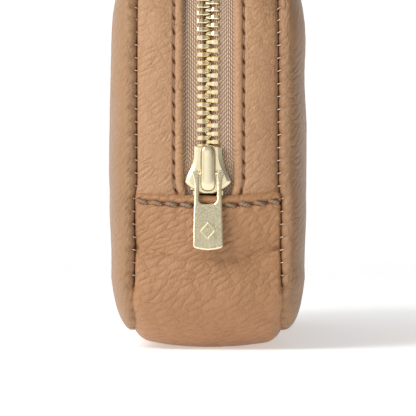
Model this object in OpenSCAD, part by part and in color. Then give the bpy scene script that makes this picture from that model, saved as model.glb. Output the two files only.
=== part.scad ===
// Boxy zippered leather pouch with a zip that runs up one end, over the top and down the other.
// X is the depth from side panel to side panel, Y the length and Z the height.
// The pouch stands on the flat underside of its bottom gusset, which is centred on the origin.
// Every leather, lining and tape is placed by n, its distance outward from the tape line: the
// rounded outline in the length-height plane that the middle of the zip tape follows.

/* [Body] */
// Length over the two ends
body_len = 190; // [170:1:220]
// Height over the bottom gusset and the zip strips
body_h = 111; // [100:1:130]
// Depth over the two side panels
body_d = 57; // [54:1:62]
// Width of the gusset between the two side seams
gusset_w = 41; // [39:1:44]
// Corner radius of the tape line at the top
corner_r = 22; // [20:1:26]
// Corner radius of the tape line at the base
base_r = 17; // [17:1:22]
// Height of the folded edge that ends the bottom gusset
gusset_edge_z = 44.4; // [42:0.1:46]

/* [Leather] */
// Thickness of the bottom gusset's leather
gusset_t = 1.4; // [1:0.1:1.4]
// Thickness of each zip strip, folded over at its edge
strip_t = 1.5; // [1.2:0.1:1.5]
// Thickness of the side panel's leather
panel_t = 1.4; // [1:0.1:1.6]
// How far in from the seam a side panel goes on curving
panel_curve = 18; // [15:0.5:18]
// Width of the seam allowance turned inside
seam_allowance = 4.5; // [4:0.1:5]

/* [Zip] */
// Width of the opening between the two folded strip edges
zip_gap = 14.6; // [14.4:0.1:15.6]
// Distance from one tooth to the next on one side
tooth_pitch = 2.38; // [2.34:0.01:2.5]
// Thickness of a tooth along the zip
tooth_t = 1.1; // [0.9:0.01:1.12]
// Width of the closed row of teeth
chain_w = 6; // [5.8:0.1:6]
// Thickness of the tape
tape_t = 0.7; // [0.5:0.05:0.7]

/* [Slider] */
// Length of the slider's plates
slider_len = 13.6; // [13:0.1:13.6]
// Width of the slider at its closed end
slider_neck_w = 8.6; // [8:0.1:8.8]
// Width of the slider over its two points
slider_w = 13.1; // [13:0.1:13.4]
// Length of the pull tab below its pivot
tab_drop = 22.2; // [18:0.1:26]
// Width of the pull tab at its free end
tab_w = 8.5; // [8:0.1:9.5]
// Lean of the hanging pull tab away from the pouch, in degrees
tab_lean = 9; // [9:0.5:14]

/* [Stitching] */
// Length from one stitch to the next along the zip strips
strip_stitch = 4.1; // [3.5:0.1:5]
// Length from one stitch to the next in the side seams
seam_stitch = 3.7; // [3.2:0.1:5]
// Length from one stitch to the next across the gusset's folded edge
edge_stitch = 4.3; // [3.5:0.1:5]

/* [Hidden] */

gap = 0.1;                                  // air between pieces that lie against each other
corner_steps = 10;                          // flats round a quarter turn

// Layers outward from the tape line
strip_n = 0.4;
gusset_n = strip_n + strip_t + gap;
base_n = gusset_n + gusset_t;
facing_t = 0.8;
facing_n = -tape_t / 2 - 0.05 - facing_t;
lining_t = 0.6;

// The tape line
half_len = body_len / 2 - base_n;
line_z0 = base_n;
line_z1 = body_h - strip_n - strip_t;
seam_x = gusset_w / 2;
lip_n = -seam_allowance + 1.5;              // inner edge of the turned seam allowances
gap_x = zip_gap / 2;

// The zip
tape_tail = 7;                              // tape and strip ends hidden under the gusset
zip_z = gusset_edge_z + 0.1;                // where the zip comes out from under the gusset
slider_z = gusset_edge_z + 0.3;             // lower end of the slider's plates
tooth_half = chain_w / 2;
tooth_reach = 0.75;                         // how far a tooth's head passes the zip's middle
bead_x = 1.5;                               // inner edge of each tape
tape_w = 14;
first_tooth = 1.9;                          // along the zip from where it comes out
splay_most = 1.9;                           // how far the slider's wedge parts the rows
splay_low = slider_z + 5;
splay_high = slider_z + 10.6;

// The slider, in its own frame: x across, y up along the zip and z outward
neck = slider_neck_w / 2;
tip = slider_w / 2;
tip_v = 3.6;
flank_v = 11.8;
plate_t = 0.9;
plate_n = 1.5;
flange_w = 0.75;
flange_n = 0.6;
wedge_half = 1.05;
cap_w = 4;
cap_v = [0.7, 13.8];
cap_top_n = 5.4;
cap_wall = 0.75;
cap_roof = 0.5;
pivot_v = 5.9;
pivot_n = 3.4;
pintle_d = 1.3;
lever_foot_v = 2.6;
heel_v = lever_foot_v + 0.3;
heel_n = 3;
heel_d = 0.9;

// The pull tab, in its own frame: x across, y up from the pivot and z outward
tab_t = 1.3;
knuckle_d = 1.7;
window_half = 2.55;
window_low = 8.95;
tab_waist = 3.9;
tab_shoulder = 4.65;

// The outline at n outward from the tape line, as [length, height] points, with its bottom
// raised by lift
function arc(cy, cz, r, a0, a1) =
    [for (i = [0 : corner_steps]) let (a = a0 + (a1 - a0) * i / corner_steps)
        [cy + r * cos(a), cz + r * sin(a)]];
flat_y = half_len - corner_r;
base_y = half_len - base_r;
function low_arcs(n, lift = 0) = concat(
    arc(-base_y, line_z0 + base_r + lift, base_r + n, 180, 270),
    arc(base_y, line_z0 + base_r + lift, base_r + n, 270, 360));
function high_arcs(n) = concat(
    arc(flat_y, line_z1 - corner_r, corner_r + n, 0, 90),
    arc(-flat_y, line_z1 - corner_r, corner_r + n, 90, 180));
function outline(n, lift = 0) = concat(low_arcs(n, lift), high_arcs(n));
function low_path(n, z) = concat([[-half_len - n, z]], low_arcs(n), [[half_len + n, z]]);
function high_path(n, z) = concat([[half_len + n, z]], high_arcs(n), [[-half_len - n, z]]);
function reversed(list) = [for (i = [len(list) - 1 : -1 : 0]) list[i]];

// Extrudes a length-height shape from x0 to x1
module across(x0, x1) {
    translate([x0, 0, 0]) rotate([90, 0, 90]) linear_extrude(height = x1 - x0) children();
}

module low_band(n0, n1, z, x0, x1) {
    across(x0, x1) polygon(concat(low_path(n1, z), reversed(low_path(n0, z))));
}

module high_band(n0, n1, z, x0, x1) {
    across(x0, x1) polygon(concat(high_path(n1, z), reversed(high_path(n0, z))));
}

module ring(n0, n1, x0, x1) {
    across(x0, x1) difference() {
        polygon(outline(n1));
        polygon(outline(n0));
    }
}

module plate(n, x0, x1) {
    across(x0, x1) polygon(outline(n));
}

// A place along the zip: [length, height, turn from upright] at s from zip_z
rise = line_z1 - corner_r - zip_z;
bend = corner_r * PI / 2;
zip_len = 2 * rise + 2 * bend + 2 * flat_y;
function zip_at(s) =
    s < rise ? [-half_len, zip_z + s, 0]
    : s < rise + bend ? let (a = (s - rise) / bend * 90)
        [-flat_y - corner_r * cos(a), line_z1 - corner_r + corner_r * sin(a), a]
    : s < rise + bend + 2 * flat_y ? [-flat_y + s - rise - bend, line_z1, 90]
    : s < zip_len - rise ? let (a = (s - rise - bend - 2 * flat_y) / bend * 90)
        [flat_y + corner_r * sin(a), line_z1 - corner_r + corner_r * cos(a), 90 + a]
    : [half_len, zip_z + zip_len - s, 180];

// Puts a child drawn with y along the zip and z outward at s along the zip
module on_zip(s) {
    at = zip_at(s);
    translate([0, at[0], at[1]]) rotate([90 - at[2], 0, 0]) children();
}

// How far the rows of teeth are parted at height z, inside the slider at rest
function splay(z) =
    splay_most * pow(min(1, max(0, (splay_high - z) / (splay_high - splay_low))), 1.5);

// A side panel: a lip turned into the seam, a roll, and a crowned face, as rings of
// [n, x, lift]. The gusset bulges below the panels, whose lower edge is lifted.
panel_seam_x = seam_x + gap;
panel_lift = 2.4;
roll_n = 2.2;
roll_x = panel_seam_x + 0.7;
face_x = body_d / 2;
crown_steps = 9;
function crown(depth, bulge, n, x) =
    [for (i = [0 : crown_steps]) let (a = 90 * i / crown_steps)
        [n - depth * (1 - cos(a)), x + bulge * sin(a), panel_lift]];
panel_outside = concat(
    [[lip_n, panel_seam_x, 0], [roll_n - 0.8, panel_seam_x, panel_lift]],
    crown(panel_curve, face_x - roll_x, roll_n, roll_x));
panel_inside = concat(
    [[lip_n, panel_seam_x + panel_t, 0], [roll_n - 2.2, panel_seam_x + panel_t, panel_lift]],
    crown(panel_curve - panel_t, face_x - roll_x - panel_t - 0.7, roll_n - panel_t - 0.6,
        roll_x + panel_t));

module panel() {
    rings = concat(reversed(panel_outside), panel_inside);
    count = len(outline(0));
    last = (len(rings) - 1) * count;
    points = [for (r = rings) for (p = outline(r[0], r[2])) [r[1], p[0], p[1]]];
    sides = [for (i = [0 : len(rings) - 2]) for (j = [0 : count - 1]) let (k = (j + 1) % count)
        [i * count + j, (i + 1) * count + j, (i + 1) * count + k, i * count + k]];
    ends = [[for (j = [0 : count - 1]) j], [for (j = [count - 1 : -1 : 0]) last + j]];
    polyhedron(points = points, faces = concat(sides, ends), convexity = 6);
}

module on_left() {
    mirror([1, 0, 0]) children();
}

module left_panel() {
    color("peru") on_left() panel();
}

module right_panel() {
    color("peru") panel();
}

// One strip of leather under the pouch and up both ends, its sides turned into the seams
module bottom_gusset() {
    color("peru") union() {
        low_band(gusset_n, base_n, gusset_edge_z, -seam_x, seam_x);
        for (x = [-seam_x, seam_x - gusset_t])
            low_band(lip_n, gusset_n + gusset_t / 2, gusset_edge_z, x, x + gusset_t);
    }
}

// A strip between the zip and a side seam, with tongues hidden under the gusset's ends
module zip_strip() {
    tongue_x = seam_x - gusset_t - gap;
    union() {
        high_band(strip_n, strip_n + strip_t, zip_z, gap_x, seam_x);
        high_band(lip_n, strip_n + strip_t / 2, zip_z, seam_x - gusset_t, seam_x);
        high_band(strip_n, strip_n + strip_t, gusset_edge_z - tape_tail, gap_x, tongue_x);
    }
}

module left_zip_strip() {
    color("peru") on_left() zip_strip();
}

module right_zip_strip() {
    color("peru") zip_strip();
}

// Half of the zip tape. Its inner edge follows the row of teeth where the slider parts it.
module zip_tape() {
    z0 = gusset_edge_z - tape_tail;
    lag = 0.6;                              // keeps the edge out of the teeth's slots
    steps = 6;
    edge = [for (i = [0 : steps]) let (z = splay_low + (splay_high - splay_low) * i / steps)
        [bead_x + splay(z), z + lag]];
    difference() {
        high_band(-tape_t / 2, tape_t / 2, z0, bead_x, bead_x + tape_w);
        translate([0, -half_len + 2, 0]) rotate([90, 0, 0]) linear_extrude(height = 4)
            polygon(concat([[0, z0 - 1], [bead_x + splay_most, z0 - 1]], edge,
                [[0, splay_high + lag]]));
    }
}

module left_zip_tape() {
    color("rosybrown") on_left() zip_tape();
}

module right_zip_tape() {
    color("rosybrown") zip_tape();
}

// A tooth's section across the zip: a head past the middle, and two legs that grip the tape
head_n = 0.8;
leg_n = 1.25;
slot_n = tape_t / 2 + 0.14;
slot_x = bead_x - 0.1;
tooth_section = [[-tooth_reach, -0.5], [-0.3, -head_n], [1, -head_n], [slot_x, -leg_n],
    [tooth_half, -leg_n + 0.15], [tooth_half, -slot_n], [slot_x, -slot_n], [slot_x, slot_n],
    [tooth_half, slot_n], [tooth_half, leg_n - 0.15], [slot_x, leg_n], [1, head_n],
    [-0.3, head_n], [-tooth_reach, 0.5]];
teeth_len = zip_len - first_tooth - 4;
tooth_count = floor(teeth_len / tooth_pitch);

module teeth(start) {
    for (i = [0 : tooth_count - 1]) {
        s = start + i * tooth_pitch;
        parted = s < rise ? splay(zip_z + s) : 0;
        on_zip(s) translate([parted, 0, 0]) rotate([90, 0, 0])
            linear_extrude(height = tooth_t, center = true) polygon(tooth_section);
    }
}

module left_teeth() {
    color("khaki") on_left() teeth(first_tooth);
}

module right_teeth() {
    color("khaki") teeth(first_tooth + tooth_pitch / 2);
}

// The two small clips that stop the slider at the closed end
module top_stops() {
    long = 2.4;
    half_t = 1.1;
    x0 = bead_x + splay_most - 0.3;
    x1 = x0 + 2;
    color("khaki") for (side = [0, 1]) mirror([side, 0, 0])
        translate([0, -half_len, slider_z - 0.1]) linear_extrude(height = long, center = true)
            polygon([[x0, -half_t], [x1, -half_t], [x1, -slot_n], [x0 + 0.2, -slot_n],
                [x0 + 0.2, slot_n], [x1, slot_n], [x1, half_t], [x0, half_t]]);
}

// The block across both rows at the far end
module bottom_stop() {
    long = 2.4;
    half = [[0, -leg_n], [tooth_half, -leg_n], [tooth_half, -slot_n], [slot_x, -slot_n],
        [slot_x, slot_n], [tooth_half, slot_n], [tooth_half, leg_n], [0, leg_n]];
    color("khaki") translate([0, half_len, zip_z + 2]) linear_extrude(height = long, center = true)
        polygon(both_sides(half));
}

// Half the slider's width at v along it
flank_steps = 8;
function flank(v) = v > flank_v ? neck
    : neck + (tip - neck) * pow((flank_v - v) / (flank_v - tip_v), 1.8);
function flank_line(inset) =
    [for (i = [0 : flank_steps]) let (v = tip_v + (flank_v - tip_v) * i / flank_steps)
        [flank(v) - inset, v]];
function slider_half(inset) = concat([[2.3 - inset, inset], [4.1 - inset, 1.1]],
    flank_line(inset), [[neck - inset, slider_len]]);
function both_sides(half) = concat(half, [for (p = reversed(half)) [-p[0], p[1]]]);

module slider_frame() {
    translate([0, -half_len, slider_z]) rotate([90, 0, 0]) children();
}

module slider_plate(n0, n1, inset) {
    translate([0, 0, n0]) linear_extrude(height = n1 - n0) difference() {
        polygon(both_sides(slider_half(inset)));
        children();
    }
}

// The walls that hold the teeth, from the points up to the closed end
module slider_flange(n0, n1) {
    wall = concat(flank_line(0), [[neck, slider_len], [neck - flange_w, slider_len]],
        reversed(flank_line(flange_w)));
    translate([0, 0, n0]) linear_extrude(height = n1 - n0) {
        polygon(wall);
        mirror([1, 0]) polygon(wall);
    }
}

module slider_wedge() {
    translate([0, 0, -plate_n - 0.2]) linear_extrude(height = 2 * plate_n + 0.4)
        polygon([[-0.4, 1.4], [0.4, 1.4], [wedge_half, 3.4], [wedge_half, 4.4], [0, 6.4],
            [-wedge_half, 4.4], [-wedge_half, 3.4]]);
}

// One casting: two plates joined by the wedge, with flanges round the teeth
module slider_body() {
    lap = 0.3;
    color("khaki") slider_frame() union() {
        slider_plate(plate_n, plate_n + plate_t, 0)
            translate([-0.9, 9.8]) square([1.8, 1.6]);
        slider_plate(-plate_n - plate_t, -plate_n, 0.3);
        slider_flange(flange_n, plate_n + lap);
        slider_flange(-plate_n - lap, -flange_n);
        slider_wedge();
    }
}

// The long bridge over the lock, open at both sides for the pull tab's pintle
module slider_cap() {
    base = plate_n + plate_t + 0.02;
    rim = 1.6;
    length = cap_v[1] - cap_v[0];
    hollow = cap_w - 2 * cap_wall;
    side = [[cap_v[0], base], [cap_v[0], cap_top_n - 1.5], [cap_v[0] + 0.5, cap_top_n - 0.5],
        [cap_v[0] + 1.5, cap_top_n], [cap_v[1] - 1.5, cap_top_n],
        [cap_v[1] - 0.5, cap_top_n - 0.5], [cap_v[1], cap_top_n - 1.5], [cap_v[1], base]];
    color("khaki") slider_frame() difference() {
        translate([-cap_w / 2, 0, 0]) rotate([90, 0, 90]) linear_extrude(height = cap_w)
            polygon(side);
        translate([-hollow / 2, cap_v[0] + rim / 2, base - 1])
            cube([hollow, length - rim, cap_top_n - cap_roof - base + 1]);
        translate([-cap_w, pivot_v - 1.05, base - 1]) cube([2 * cap_w, 2.1, 2.75]);
    }
}

// The sprung lever whose claw drops between the teeth, under the cap
module lock_lever() {
    over = pivot_n + pintle_d / 2 + 0.08;   // the lever's underside where it crosses the pintle
    t = 0.25;
    drop = 0.6;
    claw_v = 10.6;
    foot_n = plate_n + plate_t + 0.1;
    half_w = 0.6;
    top = [[lever_foot_v, foot_n], [lever_foot_v, over + t], [pivot_v + 1, over + t],
        [claw_v, over + t - drop], [claw_v, 1]];
    under = [[claw_v - 0.6, 1.4], [claw_v - 0.6, over - drop], [pivot_v + 0.9, over],
        [lever_foot_v + 0.6, over], [lever_foot_v + 0.6, foot_n]];
    color("silver") slider_frame() translate([-half_w, 0, 0]) rotate([90, 0, 90]) union() {
        linear_extrude(height = 2 * half_w) polygon(concat(top, under));
        translate([heel_v, heel_n, 0]) cylinder(h = 2 * half_w, d = heel_d, $fn = 32);
    }
}

// The flat tab with an eye round the cap, and the pintle that hangs it in the cap
module pull_tab() {
    half = [[tab_w / 2 - 1, 0.75 - tab_drop], [tab_w / 2, 1.8 - tab_drop],
        [tab_waist, -4.5], [tab_waist + 0.05, -2.4], [tab_shoulder, -0.4], [tab_shoulder, 0]];
    eye = [[window_half - 1.2, -window_low], [window_half - 0.35, 0.35 - window_low],
        [window_half, 1.2 - window_low], [window_half, 1]];
    color("khaki") translate([0, -half_len - pivot_n, slider_z + pivot_v])
        rotate([90 - tab_lean, 0, 0]) union() {
            translate([0, 0, -tab_t / 2]) linear_extrude(height = tab_t) difference() {
                polygon(concat([[0, -tab_drop]], both_sides(half)));
                polygon(both_sides(eye));
            }
            rotate([0, 90, 0])
                cylinder(h = 2 * window_half + 1, d = pintle_d, center = true, $fn = 32);
            for (side = [-1, 1]) translate([side * (window_half + tab_shoulder) / 2, 0, 0])
                rotate([0, 90, 0]) cylinder(h = tab_shoulder - window_half, d = knuckle_d,
                    center = true, $fn = 32);
        }
}

// Inside the pouch
lining_x = panel_seam_x + panel_t + 0.95;
foam_x = lining_x + lining_t + gap;

module foam_pad() {
    plate(-6.5, foam_x, foam_x + 2.3);
}

module left_foam_pad() {
    color("whitesmoke") on_left() foam_pad();
}

module right_foam_pad() {
    color("whitesmoke") foam_pad();
}

module panel_lining() {
    plate(-3, lining_x, lining_x + lining_t);
}

module left_lining() {
    color("tan") on_left() panel_lining();
}

module right_lining() {
    color("tan") panel_lining();
}

inner_x = seam_x - gusset_t - gap;

module gusset_lining() {
    color("tan") low_band(facing_n, facing_n + lining_t, gusset_edge_z - 1.4, -inner_x, inner_x);
}

module zip_facing() {
    high_band(facing_n, facing_n + facing_t, gusset_edge_z - 1.2, gap_x + 0.2, inner_x);
}

module left_zip_facing() {
    color("tan") on_left() zip_facing();
}

module right_zip_facing() {
    color("tan") zip_facing();
}

// The board that keeps the bottom flat, between the leather and the lining
module base_stiffener() {
    board_t = 1.2;
    half = inner_x - 4;                     // clear of the seams' rounded inner corners
    color("gray") translate([-half, -base_y + 2, line_z0 - gusset_n + gap])
        cube([2 * half, 2 * base_y - 4, board_t]);
}

// The tape folded over the raw edges of a side seam
module seam_binding() {
    t = 0.6;
    inner = seam_x - gusset_t - gap;
    outer = panel_seam_x + panel_t + gap;
    union() {
        ring(lip_n - gap - t, lip_n - gap, inner - t, outer + t);
        ring(lip_n - gap - t, lip_n + 0.4, inner - t, inner);
        ring(lip_n - gap - t, lip_n + 0.4, outer, outer + t);
    }
}

module left_seam_binding() {
    color("sienna") on_left() seam_binding();
}

module right_seam_binding() {
    color("sienna") seam_binding();
}

// Stitches: short lengths of thread that lie on the leather
module stitch(long, thick) {
    rotate([90, 0, 0]) cylinder(h = long, d = thick, center = true, $fn = 16);
}

topstitch_x = gap_x + 2.8;
topstitch_d = 0.5;

module topstitch() {
    count = floor((zip_len - 2) / strip_stitch);
    for (i = [0 : count - 1])
        on_zip(1 + (i + 0.5) * (zip_len - 2) / count)
            translate([topstitch_x, 0, strip_n + strip_t + topstitch_d / 2 + gap])
                stitch(strip_stitch - 0.9, topstitch_d);
}

module left_topstitch() {
    color("dimgray") on_left() topstitch();
}

module right_topstitch() {
    color("dimgray") topstitch();
}

// A row across the gusset at side -1 for the near end and 1 for the far end
module edge_row(side) {
    thick = 0.45;
    below = 2.7;
    count = floor((gusset_w - 2) / edge_stitch);
    pitch = (gusset_w - 2) / count;
    for (i = [0 : count - 1])
        translate([(i + 0.5 - count / 2) * pitch, side * (half_len + base_n + thick / 2 + gap),
            gusset_edge_z - below])
            rotate([0, 90, 0]) cylinder(h = pitch - 0.8, d = thick, center = true, $fn = 16);
}

module near_edge_stitch() {
    color("dimgray") edge_row(-1);
}

module far_edge_stitch() {
    color("dimgray") edge_row(1);
}

// Thread in the groove of a side seam, all round the panel's roll
thread_d = 0.45;
thread_x = panel_seam_x + 0.15;
thread_n = roll_n + 0.1;
top_r = corner_r + thread_n;
low_r = base_r + thread_n;
top_quarter = top_r * PI / 2;
low_quarter = low_r * PI / 2;
low_z = line_z0 + panel_lift + base_r;
side_start = flat_y + top_quarter;
side_end = side_start + line_z1 - corner_r - low_z;
half_loop_len = side_end + low_quarter + base_y;

// A place on the near half of the loop, [length, height, turn], from the middle of the top down
// the near end to the middle of the bottom
function half_loop_at(s) =
    s < flat_y ? [-s, line_z1 + thread_n, 90]
    : s < side_start ? let (a = (s - flat_y) / top_quarter * 90)
        [-flat_y - top_r * sin(a), line_z1 - corner_r + top_r * cos(a), 90 - a]
    : s < side_end ? [-half_len - thread_n, low_z + side_end - s, 0]
    : s < side_end + low_quarter ? let (a = (s - side_end) / low_quarter * 90)
        [-base_y - low_r * cos(a), low_z - low_r * sin(a), -a]
    : [s - half_loop_len, low_z - low_r, -90];

module seam_thread() {
    count = floor(half_loop_len / seam_stitch);
    for (end = [0, 1], i = [0 : count - 1]) {
        at = half_loop_at((i + 0.5) * half_loop_len / count);
        mirror([0, end, 0]) translate([thread_x, at[0], at[1]]) rotate([90 - at[2], 0, 0])
            stitch(seam_stitch - 1, thread_d);
    }
}

module left_seam_thread() {
    color("dimgray") on_left() seam_thread();
}

module right_seam_thread() {
    color("dimgray") seam_thread();
}

left_panel();
right_panel();
bottom_gusset();
left_zip_strip();
right_zip_strip();
left_zip_tape();
right_zip_tape();
left_teeth();
right_teeth();
top_stops();
bottom_stop();
slider_body();
slider_cap();
lock_lever();
pull_tab();
left_foam_pad();
right_foam_pad();
left_lining();
right_lining();
gusset_lining();
left_zip_facing();
right_zip_facing();
base_stiffener();
left_seam_binding();
right_seam_binding();
left_topstitch();
right_topstitch();
near_edge_stitch();
far_edge_stitch();
left_seam_thread();
right_seam_thread();
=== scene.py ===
"""A boxy zippered leather pouch: leather, weave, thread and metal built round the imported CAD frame.

Sizes are in millimetres until a mesh is made. X is the depth from side panel to side panel, Y the
length and Z the height. t runs along the pouch's rounded outline, from the middle of its bottom to
the near end, up, over the top and down the far end, and n is the distance outward from the line
that the middle of the zip tape follows.
"""

import math

import bmesh
import bpy
import numpy as np
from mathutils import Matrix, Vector


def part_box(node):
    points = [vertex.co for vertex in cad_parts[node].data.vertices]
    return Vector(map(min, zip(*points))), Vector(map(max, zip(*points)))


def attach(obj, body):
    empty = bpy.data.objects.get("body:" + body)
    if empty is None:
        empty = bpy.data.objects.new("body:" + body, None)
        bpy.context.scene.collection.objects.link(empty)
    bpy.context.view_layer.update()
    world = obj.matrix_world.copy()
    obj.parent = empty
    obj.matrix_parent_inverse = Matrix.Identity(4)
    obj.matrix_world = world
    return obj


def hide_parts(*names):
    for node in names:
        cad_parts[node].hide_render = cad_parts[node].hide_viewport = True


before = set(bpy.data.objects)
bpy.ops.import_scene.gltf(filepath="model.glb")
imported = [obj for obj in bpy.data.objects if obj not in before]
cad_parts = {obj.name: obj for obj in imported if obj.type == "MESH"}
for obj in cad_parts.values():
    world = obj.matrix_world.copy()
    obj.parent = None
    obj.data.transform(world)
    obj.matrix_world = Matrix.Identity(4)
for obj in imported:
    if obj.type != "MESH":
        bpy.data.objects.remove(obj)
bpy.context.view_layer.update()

MM = 0.001


# Sizes

def span(node):
    """A CAD node's lowest and highest corners, in millimetres."""
    low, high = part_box(node)
    return np.array(low) / MM, np.array(high) / MM


_, tape_high = span("right_zip_tape")
strip_low, strip_high = span("right_zip_strip")
gusset_low, gusset_high = span("bottom_gusset")
_, panel_high = span("right_panel")
slider_low, slider_high = span("slider_body")
cap_low, cap_high = span("slider_cap")

TAPE_T = 0.7
CORNER_R = 22.0
BASE_R = 17.0
HALF_LEN = tape_high[1] - TAPE_T / 2
LINE_TOP = tape_high[2] - TAPE_T / 2
BASE_N = gusset_high[1] - HALF_LEN
LINE_LOW = gusset_low[2] + BASE_N
STRIP_N = strip_high[2] - LINE_TOP
LEATHER_T = 1.35
EDGE_Z = gusset_high[2]
SEAM_X = strip_high[0]
FACE_X = panel_high[0]
SLIDER_Z = slider_low[2]
TEETH_PITCH = 2.38
FIRST_TOOTH = 1.9
HANDS = {-1: "left", 1: "right"}

# The outline as straight legs and quarter turns about four centres, the two at the base tighter
BASE_Y = HALF_LEN - BASE_R
TOP_Y = HALF_LEN - CORNER_R
BASE_C = LINE_LOW + BASE_R
TOP_C = LINE_TOP - CORNER_R
RISE = TOP_C - BASE_C
BASE_TURN = BASE_R * math.pi / 2
TOP_TURN = CORNER_R * math.pi / 2
LEGS = [BASE_Y, BASE_TURN, RISE, TOP_TURN, 2 * TOP_Y, TOP_TURN, RISE, BASE_TURN, BASE_Y]
KNOTS = np.concatenate([[0], np.cumsum(LEGS)])
LOOP = KNOTS[-1]
TURNS = np.radians([270, 270, 180, 180, 90, 90, 0, 0, -90, -90])
AT_BASE = np.array([1, 1, 1, 0, 0, 0, 0, 1, 1, 1])
END = np.array([0, -1, -1, -1, -1, 1, 1, 1, 1, 0])
CENTRE_Y = END * np.where(AT_BASE, BASE_Y, TOP_Y)
CENTRE_Z = np.where(AT_BASE, BASE_C, TOP_C)
T_EDGE = BASE_Y + BASE_TURN + EDGE_Z - BASE_C


def turn(t):
    """The direction of the outward normal at t, as an angle from +Y towards +Z."""
    return np.interp(np.mod(t, LOOP), KNOTS, TURNS)


def place(t, n):
    """Length and height of points at t along the outline and n outward. Further in than a turn's
    own radius, the turn becomes a sharp corner whose place moves in."""
    t = np.mod(t, LOOP)
    radius, shift_y, shift_z = 0, 0, 0
    for r, share, down in ((BASE_R + n, AT_BASE, -1), (CORNER_R + n, 1 - AT_BASE, 1)):
        weight = np.interp(t, KNOTS, share)
        radius = radius + weight * np.maximum(r, 0)
        shift_y = shift_y + np.minimum(r, 0) * np.interp(t, KNOTS, END * share)
        shift_z = shift_z + np.minimum(r, 0) * weight * down
    a = turn(t)
    y = np.interp(t, KNOTS, CENTRE_Y) + shift_y + radius * np.cos(a)
    z = np.interp(t, KNOTS, CENTRE_Z) + shift_z + radius * np.sin(a)
    return y, z


def lay(x, t, n):
    """Points in space from arrays of x, t and n of one shape."""
    x, t, n = np.broadcast_arrays(x, t, n)
    y, z = place(t, n)
    return np.stack([x, y, z], -1)


def lowness(t):
    """0 on the ends and the top, rising to 1 on the underside."""
    return np.clip(-np.sin(turn(t)), 0, 1)


def smooth(x, low, high):
    """A smooth step from 0 at low to 1 at high."""
    s = np.clip((x - low) / (high - low), 0, 1)
    return s * s * (3 - 2 * s)


def height_on_end(t):
    """Height on either end of the pouch, for t near T_EDGE or its mirror place."""
    return EDGE_Z + np.minimum(np.mod(t, LOOP), LOOP - np.mod(t, LOOP)) - T_EDGE


# Noise and creases

LATTICE = 61


def value_noise(u, v, seed):
    """Smooth noise from -1 to 1 with features about one unit wide."""
    table = np.random.default_rng(seed).uniform(-1, 1, (LATTICE, LATTICE))
    iu, iv = np.floor(u).astype(int), np.floor(v).astype(int)
    fu, fv = smooth(u - iu, 0, 1), smooth(v - iv, 0, 1)

    def at(du, dv):
        return table[(iu + du) % LATTICE, (iv + dv) % LATTICE]

    low = at(0, 0) * (1 - fu) + at(1, 0) * fu
    high = at(0, 1) * (1 - fu) + at(1, 1) * fu
    return low * (1 - fv) + high * fv


def cell_edges(u, v, seed):
    """0 on the edges of an irregular pattern of unit cells, rising to about 0.5 inside them."""
    points = np.random.default_rng(seed).random((LATTICE, LATTICE, 2))
    iu, iv = np.floor(u).astype(int), np.floor(v).astype(int)
    nearest = np.full(u.shape, 9.0)
    second = nearest.copy()
    for du in (-1, 0, 1):
        for dv in (-1, 0, 1):
            p = points[(iu + du) % LATTICE, (iv + dv) % LATTICE]
            d = np.hypot(iu + du + p[..., 0] - u, iv + dv + p[..., 1] - v)
            second = np.minimum(second, np.maximum(nearest, d))
            nearest = np.minimum(nearest, d)
    return (second - nearest) / 2


def creases(u, v, lean, seed, cell=(7.0, 3.2), width=0.085):
    """How deeply leather is creased at u, v on the flat skin, from 0 to 1. Creases lean by lean."""
    u, v = np.broadcast_arrays(u, v)
    wu = u + 1.8 * value_noise(u / 6, v / 6, seed + 1)
    wv = v + 1.8 * value_noise(u / 6, v / 6, seed + 2)
    along = (wu * math.cos(lean) + wv * math.sin(lean)) / cell[0]
    over = (wv * math.cos(lean) - wu * math.sin(lean)) / cell[1]
    line = np.exp(-(cell_edges(along, over, seed) / width) ** 2)
    worn = np.clip(0.55 + 0.9 * value_noise(u / 9, v / 9, seed + 3), 0, 1)
    return line * worn


# Mesh building

def strips_of(rings, closed):
    """Quads between rows of vertex numbers, each row closed to a loop or left open."""
    after = np.roll(rings, -1, 1) if closed else rings[:, 1:]
    here = rings if closed else rings[:, :-1]
    quads = np.stack([here[:-1], after[:-1], after[1:], here[1:]], -1)
    return quads.reshape(-1, 4).tolist()


def add_piece(name, node, shape, slot, material, body="pouch", crease=None, uv=None, sharp=None):
    """A closed mesh that stands for a CAD node, rides on its body and takes a finish. Its slot
    argument is not used.
    """
    points, faces = shape
    mesh = bpy.data.meshes.new(name)
    mesh.from_pydata((points * MM).tolist(), [], faces)
    # A per-vertex attribute that paints shade on leather and tape and marks the pull tab's polished
    # edges
    if crease is not None:
        data = mesh.attributes.new("crease", "FLOAT", "POINT").data
        data.foreach_set("value", np.ravel(crease).astype(np.float32))
    if uv is not None:
        corners = np.zeros(len(mesh.loops), int)
        mesh.loops.foreach_get("vertex_index", corners)
        uv = np.stack(np.broadcast_arrays(*uv), -1).reshape(-1, 2).astype(np.float32)
        mesh.uv_layers.new(name="skin").data.foreach_set("uv", uv[corners].ravel())
    bm = bmesh.new()
    bm.from_mesh(mesh)
    bmesh.ops.recalc_face_normals(bm, faces=bm.faces)
    bm.to_mesh(mesh)
    bm.free()
    mesh.shade_smooth()
    if sharp is not None:
        mesh.set_sharp_from_angle(angle=math.radians(sharp))
    mesh.materials.append(material)
    piece = bpy.data.objects.new(name, mesh)
    bpy.context.scene.collection.objects.link(piece)
    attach(piece, body)
    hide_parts(node)
    return piece


def add_pair(side, name, node, *finish, **surface):
    """The left or right piece of a pair, which stands for the left or right node."""
    hand = HANDS[side] + "_"
    return add_piece(hand + name, hand + node, *finish, **surface)


def loft(rings):
    """Vertices and faces of a closed solid from rows of rings, with flat ends."""
    count, around = rings.shape[:2]
    numbers = np.arange(count * around).reshape(count, around)
    faces = strips_of(numbers, True)
    faces += [numbers[0][::-1].tolist(), numbers[-1].tolist()]
    return rings.reshape(-1, 3), faces


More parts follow.
